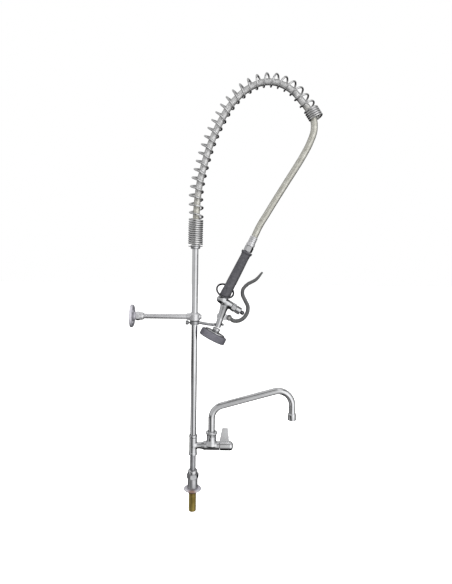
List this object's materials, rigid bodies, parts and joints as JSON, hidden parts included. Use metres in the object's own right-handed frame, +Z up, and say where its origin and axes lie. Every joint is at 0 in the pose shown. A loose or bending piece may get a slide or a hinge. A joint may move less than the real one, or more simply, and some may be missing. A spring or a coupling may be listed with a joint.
{
  "type": "pre rinse faucet",
  "caption": "Deck-mounted pre-rinse faucet: riser with wall bracket, swing spout, overhead spring and hose, and a squeeze-lever spray valve on a finger hook.",
  "frame": {"origin": "centre of the deck hole, on the riser's axis, in the plane of the gasket's underside", "axes": "+Z up along the riser, +X from the riser towards the swing spout, -Y towards the user; the wall flange faces -X"},
  "size_m": [0.5292, 0.0959, 1.2389],
  "materials": {
    "chrome": "polished chrome plate on brass",
    "steel": "stainless steel, woven on the hose and drawn wire on the spring",
    "brass": "raw brass, threaded",
    "rubber": "moulded grey rubber",
    "grip": "insulated grip, satin",
    "lever": "plastic-coated steel"
  },
  "bodies": {
    "root": {"base_flange": "chrome", "base_body": "chrome", "base_union_nut": "chrome", "base_collar": "chrome", "lower_nipple": "chrome", "faucet_body": "chrome", "spout_nut": "chrome", "riser_pipe": "chrome", "bracket_collar": "chrome", "bracket_arm": "chrome", "bracket_coupling_nut": "chrome", "wall_flange": "chrome", "finger_hook": "chrome", "hook_thumb_screw": "chrome", "spring_collar": "chrome", "bracket_set_screw": "steel", "overhead_spring": "steel", "hose_lower_nut": "steel", "hose_lower_ferrule": "steel", "hose": "steel", "supply_shank": "brass", "valve_cartridge": "brass", "cartridge_nut": "brass", "deck_gasket": "rubber", "hose_washer": "rubber"},
    "spout": {"spout_tube": "chrome", "spout_o_ring": "rubber", "spout_outlet": "chrome", "stream_straightener": "steel"},
    "handle": {"faucet_handle": "chrome", "cartridge_stem": "brass", "handle_screw": "steel", "index_button": "chrome"},
    "spray": {"spray_grip": "grip", "grip_tube": "chrome", "hose_end_nut": "chrome", "hose_end_ferrule": "steel", "valve_body": "chrome", "valve_bonnet": "chrome", "plunger_spring": "brass", "lever_pin": "steel", "head_nut": "chrome", "spray_head_shell": "chrome", "rubber_bumper": "rubber", "spray_face": "steel", "face_screw": "steel"},
    "lever": {"squeeze_lever": "lever"},
    "plunger": {"plunger": "chrome", "valve_disc": "rubber"},
    "ring": {"hold_ring": "steel"}
  },
  "joints": [
    {"name": "spout_swing", "type": "hinge", "parent": "root", "child": "spout", "pos_m": [0.052, 0, 0.16], "axis": [0, 0, 1], "range_deg": [-150, 150]},
    {"name": "handle_turn", "type": "hinge", "parent": "root", "child": "handle", "pos_m": [0.09, 0, 0.1255], "axis": [1, 0, 0], "range_deg": [0, 90]},
    {"name": "spray_unhook", "type": "slide", "parent": "root", "child": "spray", "axis": [0, -1, 0], "range_m": [0, 0.08], "deforming": ["hose", "overhead_spring"]},
    {"name": "lever_squeeze", "type": "hinge", "parent": "spray", "child": "lever", "pos_m": [0.098, 0, 0.489], "axis": [0, -1, 0], "range_deg": [0, 10], "stiffness_Nm_per_rad": 1.5, "springref_deg": -2.86},
    {"name": "plunger_press", "type": "slide", "parent": "spray", "child": "plunger", "axis": [-0.8499, 0, 0.527], "range_m": [0, 0.0066], "deforming": ["plunger_spring"]},
    {"name": "ring_tilt", "type": "hinge", "parent": "spray", "child": "ring", "pos_m": [0.09009, 0, 0.56576], "axis": [-0.91, 0, 0.4147], "range_deg": [0, 60]}
  ],
  "couplings": [
    {"joint": "plunger_press", "follows": "lever_squeeze", "m_per_rad": 0.036}
  ]
}
